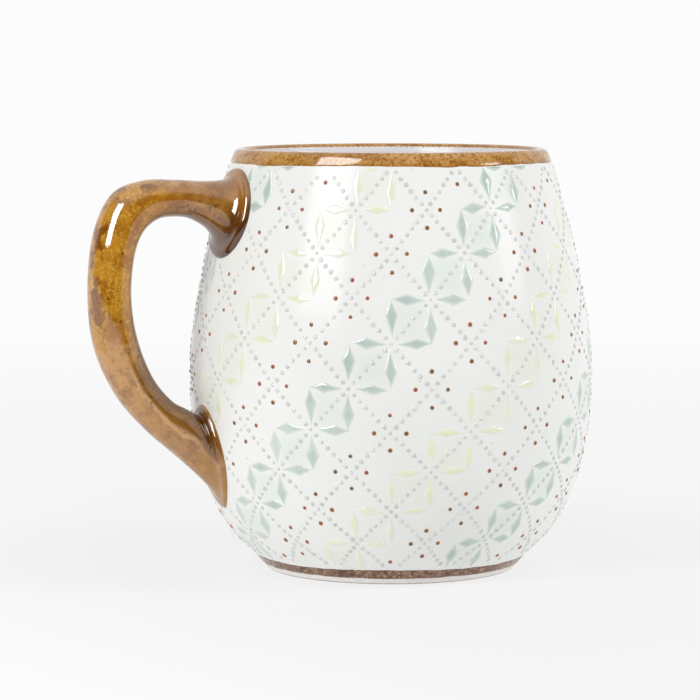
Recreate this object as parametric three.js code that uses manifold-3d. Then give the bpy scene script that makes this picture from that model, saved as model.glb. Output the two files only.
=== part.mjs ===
// Stoneware mug with a barrel-shaped body and a pulled loop handle, in millimetres, +Z up.
//
// The clay body and the handle are separate pieces of clay, joined by two pads of slip.
// Each glaze is a layer of its own over the clay: white outside and inside, brown bands
// at the lip and the foot, and amber on the handle. The foot ring is left as bare clay.
//
// The mug stands on z = 0. The handle points along -X, and the origin is under the middle
// of the whole outline, so the axis of the body lies a little to the +X side.

import * as THREE from 'three';
import { mergeVertices } from 'three/addons/utils/BufferGeometryUtils.js';
import Module from 'manifold-3d';

const wasm = await Module();
wasm.setup();

// ---- Driving dimensions -------------------------------------------------------------

const BELLY_RADIUS = 50.8;
const BELLY_HEIGHT = 52;
const WALL = 4.6;
const GLAZE = 0.4;
const SLIP = 0.8;
const SEAT_GAP = 0.05;
const WINDOW_GAP = 0.3;

const LIP_RADIUS = 1.6;
const LIP_CENTRE_RADIUS = 38;
const LIP_CENTRE_HEIGHT = 104.4;
const LIP_START_ANGLE = THREE.MathUtils.degToRad(20);
const LIP_END_ANGLE = THREE.MathUtils.degToRad(170);

const FOOT_BAND_BOTTOM = 1.5;
const FOOT_BAND_TOP = 4;
const RIM_BAND_BOTTOM = 103;

const FOOT_GLAZE_RADIUS = 32.6;
const FOOT_EDGE_RADIUS = 31.9;
const FOOT_EDGE_HEIGHT = 0.8;
const FOOT_OUTER_RADIUS = 30.9;
const FOOT_INNER_RADIUS = 27.4;
const RECESS_RADIUS = 26;
const RECESS_HEIGHT = 2.6;
const BASE_GLAZE_RADIUS = 25;

const FLOOR_HEIGHT = 7.6;
const FLOOR_FLAT_RADIUS = 26;
const FLOOR_CORNER_TOP = 22;

const TURN_STEPS = 40;
const LIP_STEPS = 5;
const SIDE_STEPS = 8;
const TURN_IN_STEPS = 4;
const TURN_IN_HEIGHT = 20;
const INSIDE_STEPS = 8;
const FLOOR_CORNER_STEPS = 4;

const HANDLE_REACH = 79.7;
const HANDLE_SIDES = 14;
const HANDLE_STEPS = 30;

const AXIS_X = (HANDLE_REACH - BELLY_RADIUS) / 2;

// ---- Materials ----------------------------------------------------------------------

function ceramic(color, roughness) {
  return new THREE.MeshStandardMaterial({ color, roughness, metalness: 0 });
}

const BARE_CLAY = '#d9cfbd';
const SLIP_CLAY = '#cdbfa8';
const WHITE_GLAZE = '#eef1ef';
const RIM_GLAZE = '#b98a4c';
const FOOT_GLAZE = '#6e4d39';
const AMBER_GLAZE = '#b07a38';

// ---- The outer outline of the glazed body -------------------------------------------

function lipPoint(angle) {
  return new THREE.Vector2(
    LIP_CENTRE_RADIUS + LIP_RADIUS * Math.cos(angle),
    LIP_CENTRE_HEIGHT + LIP_RADIUS * Math.sin(angle),
  );
}

const lowerSide = new THREE.CubicBezierCurve(
  new THREE.Vector2(FOOT_GLAZE_RADIUS, FOOT_BAND_BOTTOM),
  new THREE.Vector2(35.8, 7.1),
  new THREE.Vector2(BELLY_RADIUS, 11.5),
  new THREE.Vector2(BELLY_RADIUS, BELLY_HEIGHT),
);

const upperSide = new THREE.CubicBezierCurve(
  new THREE.Vector2(BELLY_RADIUS, BELLY_HEIGHT),
  new THREE.Vector2(BELLY_RADIUS, 56),
  new THREE.Vector2(47.8, 82.2),
  lipPoint(LIP_START_ANGLE),
);

// Both side curves rise all the way, so a height has one point on them.
function sidePoint(height) {
  const curve = height < BELLY_HEIGHT ? lowerSide : upperSide;
  let low = 0;
  let high = 1;
  for (let halving = 0; halving < 40; halving += 1) {
    const middle = (low + high) / 2;
    if (curve.getPoint(middle).y < height) low = middle;
    else high = middle;
  }
  return curve.getPoint(low);
}

function evenSteps(first, last, steps) {
  return Array.from({ length: steps + 1 }, (_, i) => first + ((last - first) * i) / steps);
}

// The steps are closer together where the side turns in towards the foot.
function sideHeights() {
  const below = evenSteps(FOOT_BAND_TOP, TURN_IN_HEIGHT, TURN_IN_STEPS).slice(0, -1);
  return [...below, ...evenSteps(TURN_IN_HEIGHT, RIM_BAND_BOTTOM, SIDE_STEPS)];
}

// A line of points moved sideways by a distance: positive is to the right of the way
// that the line runs, which is outwards on an outline that runs up the outside.
function shifted(points, distance) {
  return points.map((point, i) => {
    const before = points[Math.max(i - 1, 0)];
    const after = points[Math.min(i + 1, points.length - 1)];
    const along = after.clone().sub(before).normalize();
    return new THREE.Vector2(point.x + along.y * distance, point.y - along.x * distance);
  });
}

const footBandLine = evenSteps(FOOT_BAND_BOTTOM, FOOT_BAND_TOP, 2).map(sidePoint);
const sideLine = sideHeights().map(sidePoint);
const lipLine = evenSteps(LIP_START_ANGLE, LIP_END_ANGLE, LIP_STEPS).map(lipPoint);
const rimLine = [sidePoint(RIM_BAND_BOTTOM), ...lipLine];

// ---- The inner outline of the glazed hollow, from the lip down to the middle ---------

function insideWallPoint(height) {
  return new THREE.Vector2(sidePoint(height).x - WALL, height);
}

const floorCorner = new THREE.CubicBezierCurve(
  insideWallPoint(FLOOR_CORNER_TOP),
  new THREE.Vector2(38.8, 12.5),
  new THREE.Vector2(34, FLOOR_HEIGHT),
  new THREE.Vector2(FLOOR_FLAT_RADIUS, FLOOR_HEIGHT),
);

function insideLine() {
  const lipInside = lipPoint(LIP_END_ANGLE);
  const heights = evenSteps(lipInside.y, FLOOR_CORNER_TOP, INSIDE_STEPS).slice(1, -1);
  const floor = floorCorner.getPoints(FLOOR_CORNER_STEPS);
  return [lipInside, ...heights.map(insideWallPoint), ...floor, new THREE.Vector2(0, FLOOR_HEIGHT)];
}

// ---- The whole outline, and its surface in the clay under the glaze ------------------

const wholeLine = [
  ...footBandLine.slice(0, -1),
  ...sideLine.slice(0, -1),
  ...rimLine.slice(0, -1),
  ...insideLine(),
];
const clayLine = shifted(wholeLine, -GLAZE);
clayLine[clayLine.length - 1].x = 0;

// Where each stretch starts on the whole outline; neighbours share their end point.
const SIDE_FIRST = footBandLine.length - 1;
const RIM_FIRST = SIDE_FIRST + sideLine.length - 1;
const INSIDE_FIRST = RIM_FIRST + rimLine.length - 1;

// ---- Solids -------------------------------------------------------------------------

function turned(outline) {
  const geometry = new THREE.LatheGeometry(outline, TURN_STEPS);
  geometry.rotateX(Math.PI / 2);
  return geometry;
}

// A glaze layer lies between a stretch of the whole outline and the clay under it.
function glazeLayer(first, count) {
  const face = wholeLine.slice(first, first + count);
  const back = clayLine.slice(first, first + count).reverse();
  return turned([...face, ...back, face[0]]);
}

// The layer inside runs to the axis, so its outline starts and ends there.
function innerGlaze() {
  const face = wholeLine.slice(INSIDE_FIRST);
  const back = clayLine.slice(INSIDE_FIRST).reverse();
  return turned([...back, ...face]);
}

function toSolid(geometry) {
  const bare = geometry.clone();
  bare.deleteAttribute('normal');
  bare.deleteAttribute('uv');
  const merged = mergeVertices(bare, 1e-4);
  return new wasm.Manifold(new wasm.Mesh({
    numProp: 3,
    vertProperties: new Float32Array(merged.attributes.position.array),
    triVerts: new Uint32Array(merged.index.array),
  }));
}

function toGeometry(solid) {
  const mesh = solid.getMesh();
  const geometry = new THREE.BufferGeometry();
  geometry.setAttribute('position', new THREE.BufferAttribute(mesh.vertProperties, 3));
  geometry.setIndex(new THREE.BufferAttribute(mesh.triVerts, 1));
  geometry.computeVertexNormals();
  return geometry;
}

function bodySolid() {
  const foot = [
    new THREE.Vector2(0, RECESS_HEIGHT),
    new THREE.Vector2(RECESS_RADIUS, RECESS_HEIGHT),
    new THREE.Vector2(FOOT_INNER_RADIUS, 0),
    new THREE.Vector2(FOOT_OUTER_RADIUS, 0),
    new THREE.Vector2(FOOT_EDGE_RADIUS, FOOT_EDGE_HEIGHT),
    wholeLine[0],
  ];
  return turned([...foot, ...clayLine]);
}

function baseGlaze() {
  return turned([
    new THREE.Vector2(0, RECESS_HEIGHT - GLAZE),
    new THREE.Vector2(BASE_GLAZE_RADIUS, RECESS_HEIGHT - GLAZE),
    new THREE.Vector2(BASE_GLAZE_RADIUS, RECESS_HEIGHT),
    new THREE.Vector2(0, RECESS_HEIGHT),
  ]);
}

// ---- The handle ---------------------------------------------------------------------

// Sections of the glazed handle from the upper root to the lower one. Each is given by
// the distance from the axis of the body and the height of its outer and its inner edge,
// half its width across, and how much narrower it is towards the outer edge.
const HANDLE_SECTIONS = [
  { outer: [38.6, 101.6], inner: [43.4, 79.8], halfWidth: 10.8, taper: 0 },
  { outer: [41.6, 100.5], inner: [47.4, 82.6], halfWidth: 9.8, taper: 0 },
  { outer: [45.2, 98.7], inner: [50.4, 86.9], halfWidth: 7.4, taper: 0 },
  { outer: [50.6, 98.5], inner: [53.6, 89.2], halfWidth: 6.1, taper: 0 },
  { outer: [57.5, 98.9], inner: [57.9, 89.8], halfWidth: 5.8, taper: 0 },
  { outer: [65.8, 98.8], inner: [62.4, 89.1], halfWidth: 6, taper: 0 },
  { outer: [73.6, 95.5], inner: [66.2, 85.8], halfWidth: 6.3, taper: 0 },
  { outer: [78.3, 85.5], inner: [68.4, 79.8], halfWidth: 6.6, taper: 0 },
  { outer: [79.7, 71], inner: [69.2, 70.4], halfWidth: 6.8, taper: 0 },
  { outer: [78.2, 57.8], inner: [67.7, 60.4], halfWidth: 6.6, taper: 0 },
  { outer: [72.8, 46], inner: [63.9, 50.8], halfWidth: 6.4, taper: 0 },
  { outer: [65.3, 37.3], inner: [58.9, 44.6], halfWidth: 6.4, taper: 0.05 },
  { outer: [57.8, 30.8], inner: [54.7, 42.2], halfWidth: 7.2, taper: 0.15 },
  { outer: [50.8, 24.2], inner: [51.6, 42.5], halfWidth: 8.8, taper: 0.3 },
  { outer: [45.4, 17.6], inner: [49, 43.4], halfWidth: 9, taper: 0.45 },
  { outer: [41.6, 14.6], inner: [45.6, 44.2], halfWidth: 8.4, taper: 0.5 },
];

function splineThrough(pairs) {
  const points = pairs.map(([x, y]) => new THREE.Vector3(x, y, 0));
  return new THREE.CatmullRomCurve3(points, false, 'catmullrom', 0.5);
}

const outerEdge = splineThrough(HANDLE_SECTIONS.map((section) => section.outer));
const innerEdge = splineThrough(HANDLE_SECTIONS.map((section) => section.inner));
const sectionWidth = splineThrough(HANDLE_SECTIONS.map((section) => [section.halfWidth, section.taper]));

// A closed unit cylinder bent along the handle, with every section grown by a distance.
function handleLoft(grow) {
  const geometry = new THREE.CylinderGeometry(1, 1, 1, HANDLE_SIDES, HANDLE_STEPS);
  const position = geometry.attributes.position;
  for (let i = 0; i < position.count; i += 1) {
    const along = 0.5 - position.getY(i);
    const towardsOuter = position.getX(i);
    const across = position.getZ(i);
    const outer = outerEdge.getPoint(along);
    const inner = innerEdge.getPoint(along);
    const width = sectionWidth.getPoint(along);
    const centre = outer.clone().add(inner).multiplyScalar(0.5);
    const half = outer.clone().sub(inner).multiplyScalar(0.5);
    half.setLength(half.length() + grow);
    const reach = centre.x + half.x * towardsOuter;
    const height = centre.y + half.y * towardsOuter;
    const side = (width.x + grow) * (1 - width.y * towardsOuter) * across;
    position.setXYZ(i, -reach, side, height);
  }
  return toSolid(geometry);
}

// The clay body's outside, grown by a distance and filled to the axis.
function filledBody(grow) {
  const outside = shifted(clayLine.slice(0, RIM_FIRST + 2), grow);
  const first = outside[0];
  const last = outside[outside.length - 1];
  return toSolid(turned([
    new THREE.Vector2(0, first.y),
    ...outside,
    new THREE.Vector2(0, last.y),
  ]));
}

const clayHandle = handleLoft(-GLAZE);
const glazedHandle = handleLoft(0);
const slipOutside = filledBody(SLIP);
const slipSeat = filledBody(SLIP + SEAT_GAP);
const slipInside = filledBody(SEAT_GAP);

function handleSolid() {
  return toGeometry(clayHandle.subtract(slipSeat));
}

function handleGlaze() {
  const layer = glazedHandle.subtract(handleLoft(-GLAZE + SEAT_GAP));
  return toGeometry(layer.subtract(slipSeat));
}

// The slip left between the body and one root of the handle, the part above or below
// the middle of the mug.
function slipPad(aboveMiddle) {
  const size = 3 * BELLY_RADIUS;
  const half = new THREE.BoxGeometry(size, size, size);
  half.translate(0, 0, BELLY_HEIGHT + (aboveMiddle ? size / 2 : -size / 2));
  const layer = clayHandle.intersect(slipOutside).subtract(slipInside);
  return toGeometry(layer.intersect(toSolid(half)));
}

function outerGlaze() {
  const layer = toSolid(glazeLayer(SIDE_FIRST, sideLine.length));
  return toGeometry(layer.subtract(handleLoft(WINDOW_GAP)));
}

// ---- Assembly -----------------------------------------------------------------------

const mug = new THREE.Group();
mug.position.x = AXIS_X;

function add(name, geometry, color, roughness) {
  const mesh = new THREE.Mesh(geometry, ceramic(color, roughness));
  mesh.name = name;
  mug.add(mesh);
}

add('body', bodySolid(), BARE_CLAY, 0.85);
add('handle', handleSolid(), BARE_CLAY, 0.85);
add('upper_joint_slip', slipPad(true), SLIP_CLAY, 0.9);
add('lower_joint_slip', slipPad(false), SLIP_CLAY, 0.9);
add('outer_glaze', outerGlaze(), WHITE_GLAZE, 0.15);
add('inner_glaze', innerGlaze(), WHITE_GLAZE, 0.15);
add('base_glaze', baseGlaze(), WHITE_GLAZE, 0.2);
add('rim_band', glazeLayer(RIM_FIRST, rimLine.length), RIM_GLAZE, 0.2);
add('foot_band', glazeLayer(0, footBandLine.length), FOOT_GLAZE, 0.25);
add('handle_glaze', handleGlaze(), AMBER_GLAZE, 0.12);

const part = new THREE.Group();
part.add(mug);

export default part;
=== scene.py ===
"""The looks of a stoneware mug: a barrel-shaped body in white glaze, brown bands at the lip
and the foot, an amber handle, and raised bead rows, leaves and dots of coloured glaze.

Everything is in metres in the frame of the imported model. The body is turned about an upright
axis, the handle leaves it along -X, and the mug stands on z = 0. A "turn" is an angle round
the axis, counted from the handle, and 90 degrees of turn is the side that faces -Y.
"""

import math
import random

import bmesh
import bpy
import numpy as np
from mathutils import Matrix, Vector, noise


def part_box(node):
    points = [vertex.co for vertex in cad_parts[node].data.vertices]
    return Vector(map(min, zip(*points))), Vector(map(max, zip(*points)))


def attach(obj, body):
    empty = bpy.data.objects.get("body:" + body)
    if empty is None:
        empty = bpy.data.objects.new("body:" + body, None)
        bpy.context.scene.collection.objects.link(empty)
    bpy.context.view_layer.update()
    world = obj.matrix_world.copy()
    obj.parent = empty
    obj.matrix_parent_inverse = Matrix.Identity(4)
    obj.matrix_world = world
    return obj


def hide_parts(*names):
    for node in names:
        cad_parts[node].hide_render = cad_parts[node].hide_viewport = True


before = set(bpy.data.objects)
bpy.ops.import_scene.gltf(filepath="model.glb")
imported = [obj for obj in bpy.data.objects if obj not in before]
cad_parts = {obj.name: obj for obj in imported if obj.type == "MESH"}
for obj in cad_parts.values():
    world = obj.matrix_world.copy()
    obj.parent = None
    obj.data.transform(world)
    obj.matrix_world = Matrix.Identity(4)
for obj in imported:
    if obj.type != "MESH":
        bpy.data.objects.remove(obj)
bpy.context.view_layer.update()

MM = 0.001
DEGREE = math.pi / 180
FULL_TURN = 2 * math.pi

# ---- Sizes of the body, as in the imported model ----

body_low, body_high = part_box("body")
AXIS_X = (body_low.x + body_high.x) / 2

BELLY_RADIUS = 50.8 * MM
BELLY_HEIGHT = 52 * MM
WALL = 4.6 * MM
GLAZE = 0.4 * MM
HIDDEN_GAP = 0.03 * MM

LIP_RADIUS = 1.6 * MM
LIP_CENTRE = (38 * MM, 104.4 * MM)
LIP_START = 20 * DEGREE
LIP_END = 170 * DEGREE

FOOT_GLAZE_RADIUS = 32.6 * MM
FOOT_BAND_BOTTOM = 1.5 * MM
FOOT_BAND_TOP = 4 * MM
RIM_BAND_BOTTOM = 102.5 * MM

FOOT_OUTER_RADIUS = 30.9 * MM
FOOT_INNER_RADIUS = 27.4 * MM
RECESS_RADIUS = 26 * MM
RECESS_HEIGHT = 2.6 * MM
BASE_GLAZE_RADIUS = 25 * MM

FLOOR_HEIGHT = 7.6 * MM
FLOOR_FLAT_RADIUS = 26 * MM
FLOOR_CORNER_TOP = 22 * MM


def bezier(points, steps):
    """Points along a cubic Bezier curve, as an array of (reach, height)."""
    a, b, c, d = (np.array(p, float) for p in points)
    t = np.linspace(0, 1, steps + 1)[:, None]
    s = 1 - t
    return a * s**3 + 3 * b * s**2 * t + 3 * c * s * t**2 + d * t**3


def lip_point(angle):
    return (LIP_CENTRE[0] + LIP_RADIUS * math.cos(angle), LIP_CENTRE[1] + LIP_RADIUS * math.sin(angle))


PROFILE_STEPS = 240
BELLY = (BELLY_RADIUS, BELLY_HEIGHT)
LOWER_SIDE = [(FOOT_GLAZE_RADIUS, FOOT_BAND_BOTTOM), (35.8 * MM, 7.1 * MM), (BELLY_RADIUS, 11.5 * MM), BELLY]
UPPER_SIDE = [BELLY, (BELLY_RADIUS, 56 * MM), (47.8 * MM, 82.2 * MM), lip_point(LIP_START)]
side_line = np.vstack([bezier(LOWER_SIDE, PROFILE_STEPS)[:-1], bezier(UPPER_SIDE, PROFILE_STEPS)])
side_slopes = np.gradient(side_line[:, 0], side_line[:, 1])


def side_radius(height):
    """The radius of the glazed outside at a height."""
    return np.interp(height, side_line[:, 1], side_line[:, 0])


def side_points(heights):
    """Points of the outer outline as (reach, height), from an array of heights."""
    return np.stack([side_radius(heights), heights], axis=1)


def on_wall(turn, height, proud):
    """Points on the outside of the body, or proud of it, from arrays of turns and heights."""
    turn, height, proud = np.broadcast_arrays(turn, height, proud)
    slope = np.interp(height, side_line[:, 1], side_slopes)
    steepness = np.hypot(1, slope)
    reach = side_radius(height) + proud / steepness
    z = height - proud * slope / steepness
    return np.stack([AXIS_X - reach * np.cos(turn), -reach * np.sin(turn), z], axis=-1)


# ---- Making meshes ----

# Points nearer than this become one.
MERGE_DISTANCE = 1e-7

# What brings noise to about -1 to 1, and its patches to the size that is asked for.
NOISE_GAIN = 1.6
NOISE_FEATURE = 0.6

# Turns round the axis in the pieces that are the same all round.
TURN_STEPS = 160


def angles_round(steps):
    """Evenly spaced angles over a full turn."""
    return np.linspace(0, FULL_TURN, steps, endpoint=False)


def ring_faces(rings, around, closed):
    """Quads over rings of points. The rings close on themselves, and the last ring joins
    the first one if closed is true."""
    faces = []
    for i in range(rings if closed else rings - 1):
        for j in range(around):
            k = (j + 1) % around
            below, above = i * around, (i + 1) % rings * around
            faces.append((below + j, below + k, above + k, above + j))
    return faces


def add_piece(name, points, faces, material, replaced=(), values=None):
    """A smooth closed mesh that rides on the mug. values are numbers for each point, which
    its material reads by name."""
    mesh = bpy.data.meshes.new(name)
    mesh.from_pydata(np.asarray(points).reshape(-1, 3).tolist(), [], faces)
    for key, numbers in (values or {}).items():
        attribute = mesh.attributes.new(key, "FLOAT", "POINT")
        attribute.data.foreach_set("value", np.asarray(numbers, np.float32).ravel())
    work = bmesh.new()
    work.from_mesh(mesh)
    bmesh.ops.remove_doubles(work, verts=work.verts, dist=MERGE_DISTANCE)
    loose = [point for point in work.verts if not point.link_faces]
    bmesh.ops.delete(work, geom=loose, context="VERTS")
    bmesh.ops.recalc_face_normals(work, faces=work.faces)
    for face in work.faces:
        face.smooth = True
    work.to_mesh(mesh)
    work.free()
    mesh.materials.append(material)
    piece = bpy.data.objects.new(name, mesh)
    bpy.context.scene.collection.objects.link(piece)
    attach(piece, "root")
    if replaced:
        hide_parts(*replaced)


def add_spun(name, outline, material, node, values=None):
    """A piece turned about the axis. Its outline of (reach, height) starts and ends on the
    axis, or else differs from turn to turn, as (points, turns, 2), and is closed."""
    closed = outline.ndim == 3
    if not closed:
        outline = np.repeat(outline[:, None, :], TURN_STEPS, axis=1)
    rings, steps = outline.shape[:2]
    turn = angles_round(steps)
    reach, height = outline[..., 0], outline[..., 1]
    points = np.stack([AXIS_X - reach * np.cos(turn), -reach * np.sin(turn), height], axis=-1)
    add_piece(name, points, ring_faces(rings, steps, closed), material, [node], values)


def shifted(outline, distance):
    """An outline moved sideways, to the right of the way that it runs."""
    outline = np.asarray(outline, float)
    along = np.gradient(outline, axis=0)
    along /= np.linalg.norm(along, axis=1)[:, None]
    side = np.stack([along[:, 1], -along[:, 0]], axis=1)
    return outline + side * np.asarray(distance).reshape(-1, 1)


def wander(turn, places, seed):
    """A smooth random number from about -1 to 1 that closes over a full turn."""
    spot = Vector((math.cos(turn) * places, math.sin(turn) * places, seed))
    return noise.noise(spot) * NOISE_GAIN


def smooth_step(low, high, value):
    """A smooth step from 0, where the value is low, to 1, where it is high."""
    t = np.clip((value - low) / (high - low), 0, 1)
    return t * t * (3 - 2 * t)


# ---- Materials ----


def colour(code):
    """The linear colour of a code such as #b8741a."""
    parts = [int(code[i : i + 2], 16) / 255 for i in (1, 3, 5)]
    linear = [p / 12.92 if p <= 0.04045 else ((p + 0.055) / 1.055) ** 2.4 for p in parts]
    return (*linear, 1)


class Graph:
    """Shader nodes under construction. Most calls add nodes and return the last output."""

    def __init__(self, tree, coordinates):
        self.tree = tree
        self.place = self.add("TexCoord").outputs[coordinates]

    def add(self, kind, inputs=(), **settings):
        """A new node. An input is linked to an output, or set to a number or a colour code."""
        made = self.tree.nodes.new("ShaderNode" + kind)
        for key, value in settings.items():
            setattr(made, key, value)
        for key, value in dict(inputs).items():
            if isinstance(value, bpy.types.NodeSocket):
                self.tree.links.new(value, made.inputs[key])
            else:
                made.inputs[key].default_value = colour(value) if isinstance(value, str) else value
        return made

    def value(self, name):
        """A number that the mesh holds for each point."""
        return self.add("Attribute", attribute_name=name).outputs["Fac"]

    def axis(self, name):
        return self.add("SeparateXYZ", {0: self.place}).outputs[name]

    def towards(self, way):
        """How far the place lies in a direction."""
        made = self.add("VectorMath", {0: self.place, 1: way}, operation="DOT_PRODUCT")
        return made.outputs["Value"]

    def noise(self, size, detail=3, rough=0.55, stretch=None):
        """Cloudy noise whose patches are about size across."""
        place = self.place
        if stretch:
            place = self.add("Mapping", {"Vector": place, "Scale": stretch}).outputs[0]
        inputs = {"Vector": place, "Scale": NOISE_FEATURE / size, "Detail": detail, "Roughness": rough}
        return self.add("TexNoise", inputs).outputs["Fac"]

    def ramp(self, source, low, high, start=0.0, end=1.0):
        """A smooth step from start, where the source is low, to end, where it is high."""
        inputs = {0: source, 1: low, 2: high, 3: start, 4: end}
        return self.add("MapRange", inputs, interpolation_type="SMOOTHSTEP").outputs[0]

    def math(self, operation, a, b=0.0):
        return self.add("Math", {0: a, 1: b}, operation=operation).outputs[0]

    def sum(self, a, b):
        return self.math("ADD", a, b)

    def times(self, a, b):
        return self.math("MULTIPLY", a, b)

    def less(self, a, b):
        return self.math("SUBTRACT", a, b)

    def swing(self, source, amount):
        """A noise as a swing of up to about half the amount either way."""
        return self.times(self.less(source, 0.5), amount)

    def blend(self, factor, first, second):
        """A number between two others."""
        return self.add("Mix", {0: factor, 2: first, 3: second}, data_type="FLOAT").outputs[0]

    def mix(self, factor, first, second):
        """A colour between two others."""
        return self.add("Mix", {0: factor, 6: first, 7: second}, data_type="RGBA").outputs[2]

    def over(self, base, code, source, low, high, strength=1.0):
        """The base colour, covered by another as the source goes from low to high."""
        return self.mix(self.ramp(source, low, high, 0, strength), base, code)

    def speckled(self, base, code, spacing, solid, gone, strength):
        """The base colour with scattered specks that fade from one radius to another, in
        spacings."""
        points = self.add("TexVoronoi", {"Vector": self.place, "Scale": 1 / spacing})
        speck = self.ramp(points.outputs["Distance"], solid, gone, 1, 0)
        return self.mix(self.times(speck, strength), base, code)


class Recipe(Graph):
    """The nodes of a material round its Principled shader."""

    def __init__(self, name, roughness, ior=1.5, specular=0.5):
        self.material = bpy.data.materials.new(name)
        self.material.use_nodes = True
        super().__init__(self.material.node_tree, "Object")
        self.shader = self.tree.nodes["Principled BSDF"]
        self.shader.inputs["Roughness"].default_value = roughness
        self.shader.inputs["IOR"].default_value = ior
        self.shader.inputs["Specular IOR Level"].default_value = specular

    def finish(self, base, roughness=None, height=None, depth=0.0):
        """The material, with colour, roughness and bumps of that depth linked up."""
        self.tree.links.new(base, self.shader.inputs["Base Color"])
        if roughness is not None:
            self.tree.links.new(roughness, self.shader.inputs["Roughness"])
        if height is not None:
            bump = self.add("Bump", {"Height": height, "Distance": depth})
            self.tree.links.new(bump.outputs[0], self.shader.inputs["Normal"])
        return self.material


def white_glaze_material():
    """White glaze with a soft sheen, faintly green where it is thick, with a few iron specks.
    Pale washes of the two leaf colours lie in the squares along the leaf chains."""
    m = Recipe("white_glaze", 0.16, specular=0.1)
    base = m.mix(m.ramp(m.noise(14 * MM), 0.35, 0.7), "#f0f0ee", "#edefeb")
    celadon = m.times(m.value("celadon_wash"), m.ramp(m.noise(5 * MM), 0.2, 0.6, 0.6, 1))
    base = m.mix(celadon, base, "#e5ebe5")
    lime = m.times(m.value("lime_wash"), m.ramp(m.noise(4 * MM), 0.35, 0.65, 0.25, 1))
    base = m.mix(lime, base, "#ebeee2")
    base = m.speckled(base, "#6d6a62", 5.5 * MM, 0.028, 0.04, 0.55)
    peel = m.sum(m.noise(3 * MM, 2), m.times(m.noise(0.8 * MM, 2), 0.25))
    rough = m.ramp(m.noise(9 * MM), 0.3, 0.7, 0.12, 0.2)
    return m.finish(base, rough, peel, 0.045 * MM)


def inner_glaze_material():
    """The same glaze on the inside and in the recess, a little greyer and mauve: painted shade, the tint of
    the shaded inside.
    """
    m = Recipe("inner_glaze", 0.2, specular=0.2)
    cloud = m.noise(18 * MM)
    # The greyish mauve of both colours is painted shade.
    base = m.mix(m.ramp(cloud, 0.35, 0.7), "#f1edee", "#ece8e9")
    base = m.speckled(base, "#75706a", 6 * MM, 0.03, 0.045, 0.5)
    return m.finish(base, m.ramp(cloud, 0.3, 0.7, 0.16, 0.24), m.noise(3 * MM, 2), 0.04 * MM)


def clay_material():
    """Pale clay with a fine grain and iron specks, and a painted contact shadow where the foot stands on the
    floor.
    """
    m = Recipe("bare_clay", 0.85)
    grain = m.noise(0.5 * MM, 5, 0.7)
    base = m.mix(m.ramp(grain, 0.3, 0.7), "#e3ddd8", "#f3efec")
    base = m.speckled(base, "#9a8474", 1.6 * MM, 0.1, 0.16, 0.4)
    # Painted contact shadow: the clay darkens in the last half millimetre above z = 0, where the foot meets
    # the floor.
    base = m.mix(m.ramp(m.axis("Z"), 0.1 * MM, 0.45 * MM, 0.7, 0), base, "#5f5a57")
    return m.finish(base, m.ramp(grain, 0.3, 0.7, 0.75, 0.95), grain, 0.12 * MM)


def slip_material():
    """Dry, grainy slip."""
    m = Recipe("joint_slip", 0.9)
    grain = m.noise(0.8 * MM, 4)
    base = m.mix(m.ramp(grain, 0.3, 0.7), "#bdae96", "#d8ccb8")
    return m.finish(base, m.ramp(grain, 0.3, 0.7, 0.85, 0.95), grain, 0.1 * MM)


def rim_glaze_material():
    """Golden brown glaze with a fine grain, darker along its lower edge where it pooled."""
    m = Recipe("rim_glaze", 0.12)
    cloud = m.noise(5 * MM, 3, stretch=(1, 1, 2.5))
    grain = m.noise(0.45 * MM, 4, 0.7)
    base = m.mix(m.ramp(cloud, 0.4, 0.6), "#a56e23", "#c2904c")
    base = m.over(base, "#764914", grain, 0.51, 0.62, 0.8)
    base = m.over(base, "#d9ab66", grain, 0.49, 0.38, 0.55)
    base = m.over(base, "#7c4c16", m.value("edge"), 0.6, 1, 0.3)
    return m.finish(base, m.ramp(grain, 0.3, 0.7, 0.05, 0.12), m.noise(2 * MM, 2), 0.03 * MM)


def foot_glaze_material():
    """Dark reddish brown glaze, thin and speckled."""
    m = Recipe("foot_glaze", 0.25)
    grain = m.noise(0.6 * MM, 4, 0.75)
    base = m.mix(m.ramp(m.noise(4 * MM, 3), 0.35, 0.65), "#70492f", "#8c684f")
    base = m.over(base, "#422614", grain, 0.5, 0.58, 0.85)
    base = m.over(base, "#b3937a", grain, 0.48, 0.4, 0.7)
    return m.finish(base, m.ramp(grain, 0.3, 0.7, 0.15, 0.35), grain, 0.03 * MM)


# Where the handle's glaze turns thick and thin again, as shares of the way down from the
# upper root. The glaze is thin at the first of each pair and thick at the second.
THICKENS = (0.13, 0.22)
THINS = (0.61, 0.575)


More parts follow.
